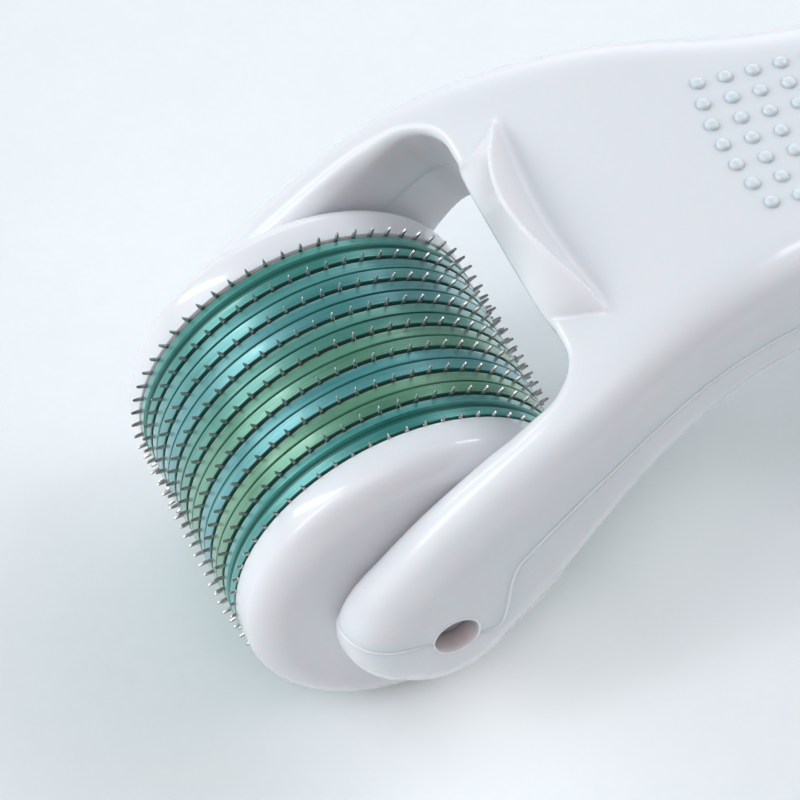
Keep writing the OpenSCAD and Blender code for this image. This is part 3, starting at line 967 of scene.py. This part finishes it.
def cap_profile():
    """Section of the +Y end cap: spigot, rounded rim, face and axle stub."""
    base = STACK + FIT
    foot = base - SPIGOT_LENGTH
    points = [(PIN_R, foot), (4.6, foot), (4.75, base - 4.5), (SPIGOT_R, base - 4.4),
              (SPIGOT_R, base), (DRUM_R - 0.06, base), (DRUM_R - 0.03, base + 0.01),
              (CAP_R, base + 0.04)]
    for i in range(25):
        a = math.radians(90 * i / 24)
        points.append((CAP_R - RIM_R + RIM_R * max(math.cos(a), 0.0)**1.2,
                       CAP_Y - RIM_RISE + RIM_RISE * math.sin(a)**1.2))
    for i in range(1, 7):
        points.append(((DRUM_R - RIM_R - 0.02) * (1 - i / 6) + FACE_INNER_R * i / 6,
                       CAP_Y + FACE_RISE * i / 6))
    # the face runs into the axle
    points += [(radius, CAP_Y + rise) for radius, rise in (
        (2.0, 0.155), (1.7, 0.17), (1.45, 0.175), (1.3, 0.20), (AXLE_R + 0.02, 0.27),
        (AXLE_R, 0.34))]
    # the axle's rounded end
    points += [(AXLE_R - inset, AXLE_END_Y - drop) for inset, drop in (
        (0, 0.25), (0.05, 0.12), (0.14, 0.04), (0.25, 0))]
    return points + [(PIN_R, AXLE_END_Y)]


def build_caps():
    for name, side in (("left", 1), ("right", -1)):
        profile = [(radius, side * y) for radius, y in cap_profile()]
        turned(name + "_end_cap", profile_rows(profile, 256), CAP, 30.0)


NEEDLES = 60
DISC_PHASES = (4.5, 2.85, 3.3, 2.75, 5.5, 1.85, 4.2, 1.5, 0.2)    # degrees, discs 1 to 9
ROOT_R = 9.72           # between the needles
WEB_R = 9.2             # ring of vertices between bore and needles
BREAK = 0.022           # width of the broken edges


def build_disc(k):
    """A disc of slim blades with bevelled tips and broken edges."""
    tip = NEEDLE_R if k < 9 else LAST_NEEDLE_R
    # half a needle: sideways offset, radius
    half = [(-0.140, ROOT_R), (-0.112, 9.82), (-0.104, 9.98), (-0.084, tip - 0.30),
            (-0.058, tip - 0.14), (-0.036, tip - 0.05), (-0.016, tip - 0.01), (0.0, tip)]
    offset, radius = np.array(half + [(-w, r) for w, r in reversed(half[:-1])]).T
    # the same outline drawn in, for the flat faces
    narrowed = np.copysign(np.maximum(np.abs(offset) - BREAK, 0.0), offset)
    face_offset = np.where(radius > 9.75, narrowed, offset)
    face_radius = radius - BREAK * np.where(radius < 10.3, 0.35, 1.6)

    step = 2 * math.pi / NEEDLES
    phase = math.radians(DISC_PHASES[k - 1])
    starts = np.arange(NEEDLES)[:, None] * step
    angles = (starts + np.r_[offset / radius, step / 2]).ravel()
    face_angles = (starts + np.r_[face_offset / radius, step / 2]).ravel() + phase
    radii = np.tile(np.r_[radius, ROOT_R], NEEDLES)
    face_radii = np.tile(np.r_[face_radius, ROOT_R - BREAK], NEEDLES)
    bore_angles = circle(len(angles)) + angles[0] + phase
    angles = angles + phase
    middle, half_t = (5 - k) * PITCH, DISC_T / 2
    side = [(bore_angles, bore(bore_angles), half_t), (angles, WEB_R, half_t),
            (face_angles, face_radii, half_t), (angles, radii, half_t - BREAK)]
    rows = [(a, r, middle - y) for a, r, y in side]
    rows += [(a, r, middle + y) for a, r, y in reversed(side)]
    turned("needle_disc_%d" % k, rows, STEEL, 25.0)


# ---------------------------------------------------------------- floor
FLOOR_HALF = 1.6        # metres
# Soft pools of light on the card: x, y and radius in metres, and amount
POOLS = (
    (0.0024, -0.0180, 0.0095, 0.12), (0.0190, -0.0130, 0.0090, 0.07),
    (0.0146, -0.0062, 0.0042, 0.12), (0.0197, -0.0038, 0.0040, 0.09),
    (0.0088, -0.0081, 0.0035, 0.12), (0.0030, -0.0108, 0.0035, 0.10))


def floor_card():
    """Matt fibrous card with faint blotches and the pools of light."""
    mat, nodes, bsdf = new_material("floor_card")
    co = nodes.coords()
    fibre = nodes.noise(co, scale=900.0, detail=4.0, rough=0.65)
    blotch = nodes.noise(co, scale=130.0)
    col = nodes.mix(nodes.remap(blotch, (0.35, 0.65)), (0.85, 0.875, 0.88),
                    (0.875, 0.895, 0.90))
    col = nodes.mix(nodes.remap(fibre, (0.3, 0.7), (0.0, 0.5)), col, (0.83, 0.855, 0.86))
    x, y, _ = nodes.split(co)
    glow = None
    for pool_x, pool_y, radius, amount in POOLS:
        square = nodes.sum_squares(nodes.math("SUBTRACT", x, pool_x),
                                   nodes.math("SUBTRACT", y, pool_y))
        fall = nodes.math("EXPONENT", nodes.math("MULTIPLY", square, -1.0 / radius**2))
        pool = nodes.math("MULTIPLY", fall, amount)
        glow = pool if glow is None else nodes.math("ADD", glow, pool)
    nodes.set(bsdf, {
        "Base Color": col,
        "Roughness": 0.62,
        "Emission Color": (0.96, 0.985, 1.0),
        "Emission Strength": glow,
        "Specular IOR Level": 0.3,
        "Normal": nodes.bump(fibre, strength=0.35, dist=0.00004)})
    return mat


def build_floor():
    mat = floor_card()
    mesh = bpy.data.meshes.new("floor")
    corners = ((-1, -1), (1, -1), (1, 1), (-1, 1))
    mesh.from_pydata([(x * FLOOR_HALF, y * FLOOR_HALF, FLOOR_Z * MM) for x, y in corners],
                     [], [(0, 1, 2, 3)])
    mesh.materials.append(mat)
    floor = bpy.data.objects.new("floor", mesh)
    bpy.context.scene.collection.objects.link(floor)


# ---------------------------------------------------------------- light
# The studio: broad soft panes of light round the object, as azimuth from +X,
# elevation, tightness and strength in red, green and blue
PANES = (
    (160, 36, 14, (0.205, 0.258, 0.288)),
    (0, 36, 14, (0.285, 0.315, 0.345)),
    (216, 64, 14, (0.250, 0.258, 0.282)),
    (190, 30, 14, (0.200, 0.185, 0.180)),
    (186, 10, 14, (0.050, 0.050, 0.048)),
    (60, 10, 14, (0.200, 0.210, 0.222)),
    (30, 10, 14, (0.195, 0.190, 0.203)),
    (90, 10, 14, (0.125, 0.100, 0.110)),
    (150, 10, 14, (0.058, 0.062, 0.052)),
    (0, 10, 14, (0.100, 0.070, 0.065)),
    (288, 64, 14, (0.040, 0.028, 0.024)),
    (320, 36, 14, (0.030, 0.036, 0.026)),
    (80, 36, 14, (0.020, 0.045, 0.040)),
    # a tall window, seen in the rings
    (140, 19, 60, (0.014, 0.014, 0.014)),
    (140, 31, 60, (0.018, 0.018, 0.018)),
    (141, 43, 60, (0.018, 0.018, 0.018)),
    (142, 55, 60, (0.014, 0.014, 0.014)),
)

# Area lights: name, azimuth, elevation, width, height, power, colour
STRIPS = (
    ("strip_cap", 140, 31, 0.060, 0.42, 0.38, (0.99, 1.0, 1.0)),
    ("strip_arm", 178, 38, 0.100, 0.44, 0.58, (1.0, 1.0, 1.0)),
    ("strip_right", 10, 46, 0.110, 0.17, 0.32, (0.98, 0.99, 1.0)),
)
STRIP_TARGET, STRIP_DIST = (0.0, -0.005, 0.0), 0.70


def direction(azimuth, elevation):
    a, e = math.radians(azimuth), math.radians(elevation)
    return math.cos(a) * math.cos(e), math.sin(a) * math.cos(e), math.sin(e)


def build_world():
    world = bpy.data.worlds.new("studio")
    bpy.context.scene.world = world
    nodes = Nodes(world)
    out = nodes.add("OutputWorld")
    background = nodes.add("Background", {"Strength": 1.0})
    nodes.set(out, {0: background.outputs[0]})
    view = nodes.add("TexCoord").outputs["Generated"]
    total = None
    for azimuth, elevation, tightness, colour in PANES:
        facing = nodes.add("VectorMath", {0: view, 1: direction(azimuth, elevation)},
                           operation="DOT_PRODUCT").outputs["Value"]
        off = nodes.math("SUBTRACT", facing, 1.0)
        fall = nodes.math("EXPONENT", nodes.math("MULTIPLY", off, float(tightness)))
        # tighter panes are brighter, so each gives the same light for its strength
        peak = tuple(c * tightness / 2 for c in colour)
        pane = nodes.add("VectorMath", {0: peak, "Scale": fall}, operation="SCALE").outputs[0]
        total = pane if total is None else nodes.add(
            "VectorMath", {0: total, 1: pane}, operation="ADD").outputs[0]
    nodes.set(background, {"Color": total})


def build_strips():
    for name, azimuth, elevation, width, height, power, colour in STRIPS:
        toward = Vector(direction(azimuth, elevation))
        light = bpy.data.lights.new(name, "AREA")
        light.shape = "RECTANGLE"
        light.size, light.size_y = width, height
        light.energy = power
        light.color = colour
        ob = bpy.data.objects.new(name, light)
        bpy.context.scene.collection.objects.link(ob)
        ob.location = Vector(STRIP_TARGET) + toward * STRIP_DIST
        ob.rotation_mode = "QUATERNION"
        ob.rotation_quaternion = toward.to_track_quat("Z", "Y")


# ---------------------------------------------------------------- camera
# Axes of the camera in the first three columns, its place in the last
CAMERA_MATRIX = (
    (0.9148, 0.3209, -0.2455, -0.067245),
    (-0.4040, 0.7265, -0.5559, -0.158160),
    (0.0, 0.6077, 0.7942, 0.229160),
    (0, 0, 0, 1))


def build_camera():
    scene = bpy.context.scene
    camera = bpy.data.cameras.new("camera")
    camera.sensor_fit = "HORIZONTAL"
    camera.sensor_width = 36.0
    camera.lens = 236.71593
    camera.clip_start, camera.clip_end = 0.01, 20.0
    camera.dof.use_dof = False
    ob = bpy.data.objects.new("camera", camera)
    scene.collection.objects.link(ob)
    ob.matrix_world = Matrix(CAMERA_MATRIX)
    scene.camera = ob
    scene.view_settings.view_transform = "Standard"
    scene.view_settings.look = "None"


# ---------------------------------------------------------------- build
build_shells()
build_seam_bead()
build_dots()
build_rings()
build_caps()
for disc_number in range(1, 10):
    build_disc(disc_number)

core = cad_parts["drum_core"]
core.data.materials.clear()
core.data.materials.append(CORE)

build_floor()
build_world()
build_strips()
build_camera()
